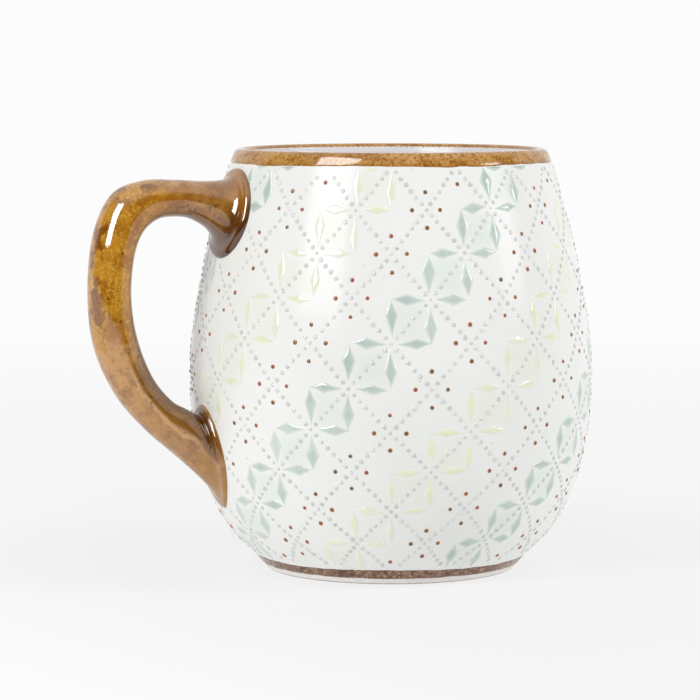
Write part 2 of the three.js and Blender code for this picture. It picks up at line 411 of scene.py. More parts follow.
def amber_glaze_material():
    """Glossy amber glaze over pale clay: deep golden brown where it ran thick round the upper
    bend, and tan, mottled and specked where it is thin. Facing is 1 on the handle's outer
    edge and -1 on its inner one, and edge is 1 where a root ends."""
    m = Recipe("amber_glaze", 0.05, ior=1.85)
    along, facing, edge = m.value("along"), m.value("facing"), m.value("edge")
    cloud = m.noise(8 * MM, 3)
    mottle = m.noise(3 * MM, 5, 0.65)
    fine = m.noise(1.1 * MM, 4, 0.7)
    grain = m.noise(0.45 * MM, 3, 0.7)
    inward = m.ramp(facing, 0.2, -0.4)

    # Thin glaze: tan, with brown and straw-coloured patches, a painted highlight as a pale line down the
    # side of the lower arm, and a painted dark reflection as a brown band beside it.
    low = m.ramp(along, 0.35, 0.6)
    thin = m.mix(low, "#a8732f", "#c08c4a")
    thin = m.over(thin, "#a67233", along, 0.68, 0.95)
    patches = m.ramp(m.sum(mottle, m.times(inward, 0.06)), 0.49, 0.62, 0, 0.5)
    thin = m.mix(patches, thin, m.mix(low, "#7a4305", "#7e4402"))
    thin = m.over(thin, "#c9954c", mottle, 0.46, 0.37, 0.6)
    # Dark brown mottles. The mottles belong to the glaze, but making them stronger towards the inner side is
    # painted shade.
    thin = m.over(thin, "#5c2f02", fine, 0.53, 0.6, m.ramp(inward, 0, 1, 0.3, 0.85))
    wavy = m.sum(m.less(facing, 0.1), m.swing(mottle, 0.9))
    # Painted highlight: a pale line down the middle of the lower arm's side.
    painted_ridge_highlight = m.ramp(along, 0.62, 0.72, 0, 0.65)
    thin = m.over(thin, "#d2a263", m.math("ABSOLUTE", wavy), 0.14, 0.04, painted_ridge_highlight)
    # Painted dark reflection: a brown band just inside the painted highlight.
    painted_dark_reflection = m.times(m.ramp(wavy, -0.06, -0.3), m.ramp(along, 0.62, 0.7, 0, 0.7))
    thin = m.mix(painted_dark_reflection, thin, "#85561f")

    # Thick glaze: golden brown, grainy with gold, and blotched along its outer side.
    deep = m.mix(m.ramp(cloud, 0.42, 0.62), "#b9801f", "#9c5f0c")
    deep = m.over(deep, "#8d500a", mottle, 0.5, 0.6, 0.55)
    gold = m.times(m.ramp(grain, 0.47, 0.58), m.ramp(m.sum(cloud, fine), 1.04, 0.92))
    deep = m.mix(m.times(gold, 0.6), deep, "#dcaa48")
    blotch = m.times(m.ramp(mottle, 0.46, 0.56), m.ramp(facing, 0.35, 0.85))
    deep = m.mix(m.times(blotch, 0.75), deep, "#6e3802")
    place = m.sum(along, m.sum(m.swing(cloud, 0.12), m.swing(mottle, 0.2)))
    thick = m.times(m.ramp(place, *THICKENS), m.ramp(place, *THINS))
    base = m.mix(thick, thin, deep)

    # The inner edge, darkened as painted shade; the necks of the roots; the darkening round them, partly
    # pooled glaze and partly painted shade; and their rims.
    # The inner edge, which faces the wall, is darkened: painted shade.
    base = m.over(base, "#6b3f12", facing, -0.5, -0.95, 0.75)
    neck = m.times(m.ramp(edge, 0.05, 0.3), m.ramp(facing, -0.3, 0.3))
    base = m.mix(m.times(neck, 0.5), base, "#a87014")
    # Darker round the roots on their inner side, under the upper root and in the lower root's crotch: partly
    # pooled glaze, partly painted shade.
    pooled = m.times(m.ramp(edge, 0.1, 0.45), m.ramp(facing, 0.45, -0.35, 0.08, 0.95))
    base = m.mix(m.times(pooled, m.ramp(along, 0.3, 0.5, 1, 0.65)), base, "#522903")
    rim = m.times(m.ramp(edge, 0.78, 1), m.ramp(facing, 0.6, 0.1, 0.45, 0.9))
    base = m.mix(rim, base, m.mix(m.ramp(along, 0.3, 0.5), "#4a2508", "#a5731f"))
    base = m.speckled(base, "#3b230f", 4.5 * MM, 0.05, 0.09, 0.8)
    swell = m.sum(m.noise(4 * MM, 2), m.times(fine, 0.15))
    return m.finish(base, m.ramp(fine, 0.3, 0.7, 0.035, 0.09), swell, 0.1 * MM)


def leaf_material(name, deep, pale):
    """A thick translucent stroke of enamel: deep in the middle, and nearly the colour of the
    glaze around it where it thins out."""
    m = Recipe(name, 0.06)
    depth = m.ramp(m.value("depth"), 0.05, 0.95)
    fine = m.ramp(m.noise(1.6 * MM, 3), 0.35, 0.65, 0.75, 1)
    broad = m.ramp(m.noise(18 * MM), 0.38, 0.62, 0.65, 1)
    base = m.mix(m.times(depth, m.times(fine, broad)), pale, deep)
    rough = m.ramp(m.noise(2 * MM), 0.3, 0.7, 0.04, 0.12)
    return m.finish(base, rough, m.noise(0.9 * MM, 2), 0.04 * MM)


def bead_material():
    """Pale grey glaze that differs from bead to bead and is lighter round a bead's edge."""
    m = Recipe("bead_glaze", 0.06)
    tone = m.sum(m.value("tone"), m.times(m.noise(0.5 * MM, 2), 0.3))
    base = m.mix(m.ramp(tone, 0.1, 1.2), "#ccd0cd", "#dee0de")
    base = m.over(base, "#e6e9e7", m.value("depth"), 0.55, 0.05, 0.8)
    return m.finish(base, m.ramp(tone, 0.2, 1.1, 0.04, 0.1), m.noise(0.6 * MM, 2), 0.02 * MM)


def dot_material():
    """Rust enamel that runs from olive brown to brick red from dot to dot, and is orange at
    its thin edge."""
    m = Recipe("rust_enamel", 0.08)
    tone = m.value("tone")
    base = m.mix(m.ramp(tone, 0.1, 0.7), "#685735", "#965a36")
    base = m.over(base, "#964c48", tone, 0.7, 1)
    base = m.over(base, "#dda076", m.value("depth"), 0.8, 0.15, 0.8)
    base = m.over(base, "#5c2f18", m.noise(0.4 * MM, 3), 0.55, 0.75, 0.5)
    return m.finish(base, m.ramp(tone, 0, 1, 0.05, 0.14), m.noise(0.5 * MM, 2), 0.02 * MM)


WHITE_GLAZE = white_glaze_material()
INNER_GLAZE = inner_glaze_material()
CLAY = clay_material()
JOINT_SLIP = slip_material()
RIM_GLAZE = rim_glaze_material()
FOOT_GLAZE = foot_glaze_material()
AMBER_GLAZE = amber_glaze_material()
CELADON = leaf_material("celadon_enamel", "#b1c5bc", "#e6ebe7")
LIME = leaf_material("lime_enamel", "#e4edc3", "#eef0ea")
BEAD = bead_material()
RUST = dot_material()

# ---- The lattice that the decoration follows ----

# Columns are half a diamond apart, and rows get closer together towards the lip and the
# foot. A crossing of two bead rows lies where column plus row is an odd number.
COLUMNS = 32
COLUMN_STEP = FULL_TURN / COLUMNS
FIRST_ROW = -1
LAST_ROW = 9
ROW_CENTRE_HEIGHT = 67.5 * MM
ROW_SWING = 91.7 * MM
ROW_RATE = 0.1169
MIDDLE_ROW = 2.37

KINDS = 8
CELADON_KIND = 1
LIME_KIND = 5
DOT_KINDS = (3, 7)

DECORATION_TOP = 102 * MM
DECORATION_BOTTOM = 4.7 * MM

# How far from the middle of a square its wash has gone, and is full, in squares.
WASH_EDGE = 0.5
WASH_FULL = 0.22


def row_height(row):
    return ROW_CENTRE_HEIGHT + ROW_SWING * np.sin(ROW_RATE * (MIDDLE_ROW - row))


def row_at(height):
    return MIDDLE_ROW - np.arcsin((height - ROW_CENTRE_HEIGHT) / ROW_SWING) / ROW_RATE


def wash(columns, rows, kind):
    """How strongly a wash of colour shows at a place on the lattice: 1 inside the squares
    that lie between the crossings of one leaf chain, fading to 0 at their edges."""
    square = np.floor(columns) + np.ceil(rows)
    inside_column = np.abs(columns - np.floor(columns) - 0.5)
    inside_row = np.abs(rows - np.floor(rows) - 0.5)
    edge = np.maximum(inside_column, inside_row)
    return (square % KINDS == kind) * smooth_step(WASH_EDGE, WASH_FULL, edge)


# ---- The handle's pads on the wall ----

# Each pad is an oval on the wall: the height of its middle, half its height and half its
# width, how pointed its lower end is, and how far that end leans towards -Y.
UPPER_PAD = {"height": 90.4 * MM, "tall": 11 * MM, "wide": 11.2 * MM, "point": 0.0, "lean": 2 * MM}
LOWER_PAD = {"height": 30 * MM, "tall": 13 * MM, "wide": 9.4 * MM, "point": 0.35, "lean": 0.0}
PAD_CLEARANCE = 0.7 * MM


def pad_place(pad, around, size):
    """The (turn, height) of points of a pad's oval. around is 0 at its top and grows towards
    -Y, and size is 1 on the outline and 0 in the middle."""
    up = np.cos(around)
    height = pad["height"] + pad["tall"] * size * up
    narrowed = 1 - pad["point"] * np.clip(-up, 0, 1) ** 2
    lean = pad["lean"] * (1 - size * up) / 2
    turn = (pad["wide"] * size * narrowed * np.sin(around) + lean) / side_radius(height)
    return turn, height


def under_pad(turn, height, margin):
    """Whether a place on the wall is inside the outline of a pad, or within margin of it."""
    turn = (turn + math.pi) % FULL_TURN - math.pi
    inside = np.zeros(np.broadcast(turn, height).shape, bool)
    for pad in (UPPER_PAD, LOWER_PAD):
        up = (height - pad["height"]) / (pad["tall"] + margin)
        narrowed = 1 - pad["point"] * np.clip(-up, 0, 1) ** 2
        lean = pad["lean"] * (1 - np.clip(up, -1, 1)) / 2
        across = (turn * side_radius(height) - lean) / (pad["wide"] * narrowed + margin)
        inside |= up**2 + across**2 < 1
    return inside


# ---- White glaze of the outside ----

GLAZE_TURN_STEPS = 384
GLAZE_ROWS = 116
GLAZE_TOP = 104.4 * MM
GLAZE_BOTTOM = 2.6 * MM
WINDOW_MARGIN = -3 * MM


def make_outer_glaze():
    """A layer over the whole outside, open where the handle's pads stand on the clay."""
    turn = angles_round(GLAZE_TURN_STEPS)[None, :]
    height = np.linspace(GLAZE_BOTTOM, GLAZE_TOP, GLAZE_ROWS)[:, None]
    points = np.concatenate([on_wall(turn, height, 0), on_wall(turn, height, -GLAZE)])
    columns, rows = np.broadcast_arrays(turn / COLUMN_STEP, row_at(height))
    values = {}
    for name, kind in (("celadon_wash", CELADON_KIND), ("lime_wash", LIME_KIND)):
        strength = wash(columns, rows, kind)
        values[name] = np.concatenate([strength, np.zeros_like(strength)])
    middle_turn = turn + math.pi / GLAZE_TURN_STEPS
    middle_height = (height[1:] + height[:-1]) / 2
    window = under_pad(middle_turn, middle_height, WINDOW_MARGIN)
    count = GLAZE_ROWS * GLAZE_TURN_STEPS

    def corner(i, j):
        return i * GLAZE_TURN_STEPS + j % GLAZE_TURN_STEPS

    def is_open(i, j):
        return not 0 <= i < GLAZE_ROWS - 1 or window[i, j % GLAZE_TURN_STEPS]

    faces = []
    for i in range(GLAZE_ROWS - 1):
        for j in range(GLAZE_TURN_STEPS):
            if is_open(i, j):
                continue
            a, b, c, d = corner(i, j), corner(i, j + 1), corner(i + 1, j + 1), corner(i + 1, j)
            faces.append((a, b, c, d))
            faces.append((d + count, c + count, b + count, a + count))
            edges = ((i - 1, j, a, b), (i, j + 1, b, c), (i + 1, j, c, d), (i, j - 1, d, a))
            for next_i, next_j, p, q in edges:
                if is_open(next_i, next_j):
                    faces.append((q, p, p + count, q + count))
    add_piece("white_outer_glaze", points, faces, WHITE_GLAZE, ["outer_glaze"], values)


make_outer_glaze()

# ---- Inside, base and clay ----

INSIDE_STEPS = 60
INSIDE_START = 150 * DEGREE
LIP_POINTS = 4

CORNER_START = (side_radius(FLOOR_CORNER_TOP) - WALL, FLOOR_CORNER_TOP)
CORNER_END = (FLOOR_FLAT_RADIUS, FLOOR_HEIGHT)
FLOOR_CORNER = [CORNER_START, (38.8 * MM, 12.5 * MM), (34 * MM, FLOOR_HEIGHT), CORNER_END]


def arc(centre, radius, start, end, steps):
    angles = np.linspace(start, end, steps + 1)
    return np.stack([centre[0] + radius * np.cos(angles), centre[1] + radius * np.sin(angles)], axis=1)


def level_line(start, end, height, count):
    """Points at one height from one reach to another, without the first."""
    return [(reach, height) for reach in np.linspace(start, end, count)[1:]]


def inside_line():
    """The glazed inside, from the lip down to the middle of the floor."""
    lip = arc(LIP_CENTRE, LIP_RADIUS, INSIDE_START, LIP_END, LIP_POINTS - 1)
    heights = np.linspace(lip[-1][1], FLOOR_CORNER_TOP, INSIDE_STEPS)[1:-1]
    wall = side_points(heights) - (WALL, 0)
    floor = level_line(CORNER_END[0], 0, FLOOR_HEIGHT, 8)
    return np.vstack([lip, wall, bezier(FLOOR_CORNER, 20), floor])


inside = inside_line()
inside_back = shifted(inside, -GLAZE)
inside_back[-1, 0] = 0
inner_outline = np.vstack([inside_back[::-1], inside])
add_spun("white_inner_glaze", inner_outline, INNER_GLAZE, "inner_glaze")

# The glaze in the recess has a rounded edge.
BASE_GLAZE_EDGE = 0.35 * MM
edge_middle = (BASE_GLAZE_RADIUS - BASE_GLAZE_EDGE, RECESS_HEIGHT - GLAZE + BASE_GLAZE_EDGE)
base_outline = np.vstack(
    [
        [(0, RECESS_HEIGHT)],
        level_line(0, BASE_GLAZE_RADIUS, RECESS_HEIGHT, 9),
        arc(edge_middle, BASE_GLAZE_EDGE, 0, -math.pi / 2, 4),
        level_line(edge_middle[0], 0, RECESS_HEIGHT - GLAZE, 9),
    ]
)
add_spun("recess_glaze", base_outline, INNER_GLAZE, "base_glaze")

# The clay's underside: the recess, the slope down to the foot ring, the ring's inner edge,
# and its outer edge up to the foot band.
RECESS_END = (RECESS_RADIUS - 0.8 * MM, RECESS_HEIGHT + HIDDEN_GAP)
RING_INSIDE = (FOOT_INNER_RADIUS - 0.2 * MM, 0.6 * MM)
RING_TOP = (FOOT_GLAZE_RADIUS - 0.12 * MM, FOOT_BAND_BOTTOM)
RECESS_STEP = (RECESS_RADIUS + 0.3 * MM, RECESS_HEIGHT - 0.4 * MM)
RECESS_SLOPE = [RECESS_END, (RECESS_RADIUS, RECESS_HEIGHT), RECESS_STEP, RING_INSIDE]
RING_INNER_EDGE = [
    RING_INSIDE,
    (FOOT_INNER_RADIUS, 0.15 * MM),
    (FOOT_INNER_RADIUS + 0.2 * MM, 0),
    (FOOT_INNER_RADIUS + 0.7 * MM, 0),
]
RING_OUTER_EDGE = [
    (FOOT_OUTER_RADIUS, 0),
    (FOOT_OUTER_RADIUS + 0.54 * MM, 0.05 * MM),
    (FOOT_GLAZE_RADIUS - 0.5 * MM, 0.9 * MM),
    RING_TOP,
]
clay_heights = np.linspace(FOOT_BAND_BOTTOM, lip_point(LIP_START)[1], 70)[1:]
clay_inside = inside_back[LIP_POINTS:].copy()
clay_inside[:, 0] += HIDDEN_GAP * (clay_inside[:, 0] > 0)
clay_inside[:, 1] -= HIDDEN_GAP
clay_outline = np.vstack(
    [
        [(0, RECESS_END[1])],
        level_line(0, *RECESS_END, 8),
        bezier(RECESS_SLOPE, 6)[1:],
        bezier(RING_INNER_EDGE, 5)[1:],
        bezier(RING_OUTER_EDGE, 8),
        shifted(side_points(clay_heights), -GLAZE - HIDDEN_GAP),
        arc(LIP_CENTRE, LIP_RADIUS - GLAZE - HIDDEN_GAP, LIP_START, LIP_END, 12)[1:-1],
        clay_inside,
    ]
)
add_spun("clay_body", clay_outline, CLAY, "body")

# ---- Brown bands ----

BAND_TURN_STEPS = 256
BAND_THICKNESS = 0.3 * MM
EDGE_PROUD = 0.13 * MM
EDGE_SUNK = -0.1 * MM
RIM_EDGE_WANDER = 0.35 * MM
RIM_END = 166
RIM_END_WANDER = 5
FOOT_EDGE_WANDER = 0.3 * MM
FOOT_PROUD = 0.08 * MM


def band_section(face, proud):
    """A closed outline: a face raised by proud, and the underside of the band."""
    return np.vstack([shifted(face, proud), shifted(face, -BAND_THICKNESS)[::-1]])


def make_rim_band():
    """The band over the lip. It stands proud of the white glaze along its lower edge, and
    that edge wanders as a brush leaves it."""
    outlines, edges = [], []
    for turn in angles_round(BAND_TURN_STEPS):
        low = RIM_BAND_BOTTOM + RIM_EDGE_WANDER * (wander(turn, 1.6, 1) + 0.4 * wander(turn, 9, 2))
        side = side_points(np.linspace(low, lip_point(LIP_START)[1], 9))
        end = (RIM_END + RIM_END_WANDER * wander(turn, 3, 3)) * DEGREE
        face = np.vstack([side, arc(LIP_CENTRE, LIP_RADIUS, LIP_START, end, 20)[1:]])
        place = np.linspace(0, 1, len(face))
        proud = EDGE_PROUD * (smooth_step(0, 0.05, place) - smooth_step(0.12, 0.4, place))
        proud[0] = proud[-1] = EDGE_SUNK
        outlines.append(band_section(face, proud))
        pooled = 1 - smooth_step(0, 0.32, place)
        edges.append(np.concatenate([pooled, pooled[::-1]]))
    outline = np.stack(outlines, axis=1)
    values = {"edge": np.stack(edges, axis=1)}
    add_spun("rim_glaze_band", outline, RIM_GLAZE, "rim_band", values)


def make_foot_band():
    """The band above the foot ring, brushed on so that neither of its edges is straight."""
    outlines = []
    for turn in angles_round(BAND_TURN_STEPS):
        high = FOOT_BAND_TOP + FOOT_EDGE_WANDER * (wander(turn, 1.3, 4) + 0.5 * wander(turn, 10, 5))
        low = FOOT_BAND_BOTTOM + FOOT_EDGE_WANDER * 0.6 * max(wander(turn, 6, 6), 0)
        face = side_points(np.linspace(low, high, 10))
        proud = FOOT_PROUD * np.sin(math.pi * np.linspace(0, 1, len(face))) ** 0.5
        proud[0] = proud[-1] = -FOOT_PROUD
        outlines.append(band_section(face, proud))
    outline = np.stack(outlines, axis=1)
    add_spun("foot_glaze_band", outline, FOOT_GLAZE, "foot_band")


make_rim_band()
make_foot_band()

# ---- Handle ----

# Sections of the handle's arm from the upper root to the lower one, in millimetres: the
# distance from the axis and the height of its outer and its inner edge, half its width
# across, and how much narrower it is towards the outer edge.
ARM_SECTIONS = [
    ((45.2, 98.7), (50.4, 86.9), 7.4, 0),
    ((50.6, 98.5), (53.6, 89.2), 6.1, 0),
    ((57.5, 98.9), (57.9, 89.8), 5.8, 0),
    ((65.8, 98.8), (62.4, 89.1), 6, 0),
    ((73.6, 95.5), (66.2, 85.8), 6.3, 0),
    ((78.3, 85.5), (68.4, 79.8), 6.6, 0),
    ((79.7, 71), (69.2, 70.4), 6.8, 0),
    ((78.2, 57.8), (67.7, 60.4), 6.6, 0),
    ((72.8, 46), (63.9, 50.8), 6.4, 0),
    ((65.3, 37.3), (58.9, 44.6), 6.4, 0.05),
    ((57.8, 30.8), (54.7, 42.2), 7.2, 0.15),
]
ARM_START = 1.0
ARM_END = 9.5
ARM_RINGS = 72
ROOT_RINGS = 22
EDGE_RINGS = 7
HANDLE_AROUND = 64
PAD_PROUD = 1.3 * MM
TAIL_PROUD = 0.6 * MM
PAD_SINK = 0.3 * MM
PULL_FROM_ARM = 0.74
PULL_FROM_PAD = 0.22
TAIL_PULL = 0.08
HEADING_STEP = 0.05
SPREAD_STEP = 0.05
CAP_SIZES = (0.8, 0.55, 0.3, 0.1, 0)


def arm_numbers(place):
    """The spline through the numbers of the arm's sections, at a place counted in sections."""
    flat = np.array([[*outer, *inner, half, taper] for outer, inner, half, taper in ARM_SECTIONS])
    i = min(int(place), len(flat) - 2)
    t = place - i
    before = flat[i - 1] if i > 0 else 2 * flat[0] - flat[1]
    after = flat[i + 2] if i + 2 < len(flat) else 2 * flat[-1] - flat[-2]
    a, b = flat[i], flat[i + 1]
    slope_a, slope_b = (b - before) / 2, (after - a) / 2
    cubic = 2 * a - 2 * b + slope_a + slope_b
    square = 3 * b - 3 * a - 2 * slope_a - slope_b
    return ((cubic * t + square) * t + slope_a) * t + a


def arm_ring(place):
    """One ring of the arm. Its first point is on the outer edge, and it goes round by -Y."""
    outer_reach, outer_z, inner_reach, inner_z, half, taper = arm_numbers(place)
    around = angles_round(HANDLE_AROUND)
    towards_outer = np.cos(around)
    reach = (outer_reach + inner_reach + (outer_reach - inner_reach) * towards_outer) / 2
    z = (outer_z + inner_z + (outer_z - inner_z) * towards_outer) / 2
    side = half * (1 - taper * towards_outer) * np.sin(around)
    return np.stack([AXIS_X - reach * MM, -side * MM, z * MM], axis=1)


def root_rings(place, outwards, pad, upper):
    """Rings from one end of the arm out to the pad's rim and down into the wall. outwards is
    the way along the arm that leads to the wall."""
    start = arm_ring(place)
    heading = arm_ring(place + outwards * HEADING_STEP) - start
    heading /= np.linalg.norm(heading, axis=1)[:, None]
    around = angles_round(HANDLE_AROUND)
    oval = around if upper else math.pi - around
    tail = np.zeros_like(around) if upper else np.clip(np.cos(around), 0, 1)
    proud = PAD_PROUD + (TAIL_PROUD - PAD_PROUD) * tail
    inner_size = 1 - proud / pad["wide"]
    rim_start = on_wall(*pad_place(pad, oval, inner_size), proud)
    nearer = on_wall(*pad_place(pad, oval, inner_size - SPREAD_STEP), proud)
    spread = rim_start - nearer
    spread /= np.linalg.norm(spread, axis=1)[:, None]
    span = np.linalg.norm(rim_start - start, axis=1)[:, None]
    pull_a = start + heading * span * PULL_FROM_ARM
    pull_b = rim_start - spread * span * (PULL_FROM_PAD - TAIL_PULL * tail[:, None])
    rings = []
    for t in np.linspace(0, 1, ROOT_RINGS + 1)[1:]:
        s = 1 - t
        rings.append(start * s**3 + 3 * pull_a * s**2 * t + 3 * pull_b * s * t**2 + rim_start * t**3)
    for angle in np.linspace(0, math.pi / 2, EDGE_RINGS + 1)[1:]:
        size = inner_size + (1 - inner_size) * math.sin(angle)
        drop = proud * math.cos(angle)
        rings.append(on_wall(*pad_place(pad, oval, size), drop))
    rings.append(on_wall(*pad_place(pad, oval, np.ones_like(proud)), -PAD_SINK))
    return rings


def grid_normals(rings):
    """Outward normals of the handle's rings, which run down it and go round by -Y."""
    around = np.roll(rings, -1, axis=1) - np.roll(rings, 1, axis=1)
    normal = np.cross(np.gradient(rings, axis=0), around)
    return normal / np.linalg.norm(normal, axis=2)[..., None]


def cap(ring):
    """Rings that close the end of a tube, ever smaller towards its middle."""
    middle = ring.mean(axis=0)
    return [middle + (ring - middle) * size for size in CAP_SIZES]


def make_handle():
    """The amber glaze of the handle, and the clay under it, on one set of rings."""
    upper = root_rings(ARM_START, -1, UPPER_PAD, True)
    lower = root_rings(ARM_END, 1, LOWER_PAD, False)
    arm = [arm_ring(place) for place in np.linspace(ARM_START, ARM_END, ARM_RINGS)]
    rings = np.array(upper[::-1] + arm + lower)
    normal = grid_normals(rings)
    lengths = np.linalg.norm(np.diff(rings.mean(axis=1), axis=0), axis=1)
    along = np.concatenate([[0], np.cumsum(lengths)])
    facing = np.cos(angles_round(HANDLE_AROUND))
    root = EDGE_RINGS + 1
    flare = root + ROOT_RINGS
    edge = np.zeros(len(rings))
    edge[:flare] = np.linspace(1, 0, flare)
    edge[-flare:] = np.linspace(0, 1, flare)
    values = {}
    for key, numbers in (("along", along[:, None] / along[-1]), ("facing", facing), ("edge", edge[:, None])):
        grid = np.broadcast_to(numbers, rings.shape[:2])
        values[key] = np.concatenate([grid, grid[::-1]])
    shell = np.concatenate([rings, (rings - normal * GLAZE)[::-1]])
    faces = ring_faces(len(shell), HANDLE_AROUND, True)
    add_piece("amber_handle_glaze", shell, faces, AMBER_GLAZE, ["handle_glaze"], values)
    core = rings[root:-root] - normal[root:-root] * (GLAZE + HIDDEN_GAP)
    core = np.concatenate([cap(core[0])[::-1], core, cap(core[-1])])
    faces = ring_faces(len(core), HANDLE_AROUND, False)
    add_piece("clay_handle", core, faces, CLAY, ["handle"])


make_handle()

SLIP_AROUND = 40
SLIP_SIZES = (0, 0.25, 0.5, 0.7, 0.82)
SLIP_THICKNESS = 0.35 * MM
SLIP_THINNING = 0.6


def make_slip(name, pad, node):
    """The pad of slip between the wall and one root, thin and hidden under the glaze."""
    around = angles_round(SLIP_AROUND)
    low, high = [], []
    for size in SLIP_SIZES:
        turn, height = pad_place(pad, around, size)
        low.append(on_wall(turn, height, HIDDEN_GAP - GLAZE))
        high.append(on_wall(turn, height, SLIP_THICKNESS * (1 - SLIP_THINNING * size) - GLAZE))
    rings = np.array(low + high[::-1])
    add_piece(name, rings, ring_faces(len(rings), SLIP_AROUND, False), JOINT_SLIP, [node])


make_slip("upper_slip", UPPER_PAD, "upper_joint_slip")
make_slip("lower_slip", LOWER_PAD, "lower_joint_slip")

# ---- Decoration ----

random.seed(11)

CROSSING_WANDER = 0.25 * MM
BEAD_WANDER = 0.12 * MM
BEADS_PER_SIDE = 6
FIRST_BEAD = 0.135
BEAD_SPACING = 0.146
BEAD_RADIUS = 0.56 * MM
BEAD_HEIGHT = 0.28 * MM
DOT_RADIUS = 0.55 * MM
DOT_HEIGHT = 0.26 * MM
DOT_ASIDE = 0.4
DOT_ABOVE = 0.41
BEAD_SIDES = 10
DOT_SIDES = 12

# Rings of a drop of glaze from its sunken rim to its crown: radius and height as shares.
DROP_RINGS = [(1.04, -0.25), (0.93, 0.3), (0.74, 0.66), (0.4, 0.93)]


def add_drops(name, drops, sides, material):
    """Low round drops on the wall, all in one mesh. Each drop is its turn, its height on the
    wall, its radius, how far it stands up, and a tone."""
    turns, levels, radii, lifts, tones = np.array(drops).T
    seat_lift = DROP_RINGS[0][1]
    points, depths = [], []
    for share, lift in DROP_RINGS:
        for angle in angles_round(sides):
            turn = turns + radii * share * math.cos(angle) / side_radius(levels)
            level = levels + radii * share * math.sin(angle)
            points.append(on_wall(turn, level, lifts * lift))
            depths.append(np.full(len(turns), max(lift, 0)))
    for lift in (1, seat_lift):
        points.append(on_wall(turns, levels, lifts * lift))
        depths.append(np.full(len(turns), max(lift, 0)))
    points = np.stack(points, axis=1)
    per_drop = points.shape[1]
    crown, seat = per_drop - 2, per_drop - 1
    pattern = ring_faces(len(DROP_RINGS), sides, False)
    last = (len(DROP_RINGS) - 1) * sides
    pattern += [(last + j, last + (j + 1) % sides, crown) for j in range(sides)]
    pattern += [((j + 1) % sides, j, seat) for j in range(sides)]
    faces = [tuple(v + drop * per_drop for v in face) for drop in range(len(turns)) for face in pattern]
    values = {"depth": np.stack(depths, axis=1), "tone": np.repeat(tones[:, None], per_drop, axis=1)}
    add_piece(name, points, faces, material, values=values)


def aside(amount):
    """A random shift of a hand-placed thing, as (turn, height)."""
    return random.uniform(-amount, amount) / BELLY_RADIUS, random.uniform(-amount, amount)


crossings = {}
for row in range(FIRST_ROW - 1, LAST_ROW + 2):
    for column in range(COLUMNS):
        if (column + row) % 2 == 1:
            shift_turn, shift_up = aside(CROSSING_WANDER)
            place = (column * COLUMN_STEP + shift_turn, float(row_height(row)) + shift_up)
            crossings[column, row] = place


def is_clear(turn, height, reach):
    """Whether a thing of that reach lies on bare white glaze."""
    if not DECORATION_BOTTOM + reach < height < DECORATION_TOP - reach:
        return False
    return not under_pad(turn, height, PAD_CLEARANCE + reach)


def near_turn(turn, other):
    """The turn that is a whole number of turns from turn, and nearest to other."""
    return turn + FULL_TURN * round((other - turn) / FULL_TURN)


def lay_beads():
    """A bead on each crossing, and a row of beads from it to each of the two crossings
    diagonally below."""
    drops = []
    for (column, row), (turn, height) in crossings.items():
        radius = BEAD_RADIUS * random.uniform(0.7, 0.95)
        if is_clear(turn, height, radius):
            drops.append((turn, height, radius, BEAD_HEIGHT * 0.8, random.random()))
        for side in (-1, 1):
            end = crossings.get(((column + side) % COLUMNS, row + 1))
            if end is None:
                continue
            end_turn = near_turn(end[0], turn)
            for k in range(BEADS_PER_SIDE):
                share = FIRST_BEAD + BEAD_SPACING * k
                shift_turn, shift_up = aside(BEAD_WANDER)
                bead_turn = turn + (end_turn - turn) * share + shift_turn
                bead_height = height + (end[1] - height) * share + shift_up
                radius = BEAD_RADIUS * random.uniform(0.84, 1.14)
                lift = BEAD_HEIGHT * random.uniform(0.75, 1.15)
                tone = random.random()
                if is_clear(bead_turn, bead_height, radius):
                    drops.append((bead_turn, bead_height, radius, lift, tone))
    add_drops("bead_rows", drops, BEAD_SIDES, BEAD)


# The four ways from a crossing, as steps to the side and down.
FOUR_WAYS = ((-1, 0), (1, 0), (0, -1), (0, 1))


def lay_dots():
    """Four dots round each crossing that lies between the chains of leaves."""
    drops = []
    for (column, row), (turn, height) in crossings.items():
        if (column + row) % KINDS not in DOT_KINDS:
            continue
        for across, down in FOUR_WAYS:
            shift_turn, shift_up = aside(BEAD_WANDER)
            dot_turn = turn + across * DOT_ASIDE * COLUMN_STEP + shift_turn
            level = float(row_height(row + down * DOT_ABOVE) - row_height(row))
            dot_height = height + level + shift_up
            radius = DOT_RADIUS * random.uniform(0.86, 1.1)
            tone = random.random()
            if is_clear(dot_turn, dot_height, radius):
                lift = DOT_HEIGHT * random.uniform(0.8, 1.15)
                drops.append((dot_turn, dot_height, radius, lift, tone))
    add_drops("rust_dots", drops, DOT_SIDES, RUST)


LEAF_START = 0.1
LEAF_END = 1.01
LEAF_ALONG = 16
LEAF_ACROSS = 8
LEAF_WIDEST = 0.58
LEAF_TILT = 0.06
LEAF_SUNK = 0.12 * MM
LEAF_WANDER = 0.2 * MM
LEAF_TIP = 0.03
SIDE_LEAF_WIDTH = 0.86
LEAF_TOP = 102.6 * MM
LEAF_BOTTOM = 3.9 * MM
LEAF_FADE = 0.5 * MM
LEAF_RUN_ON = 1 * MM


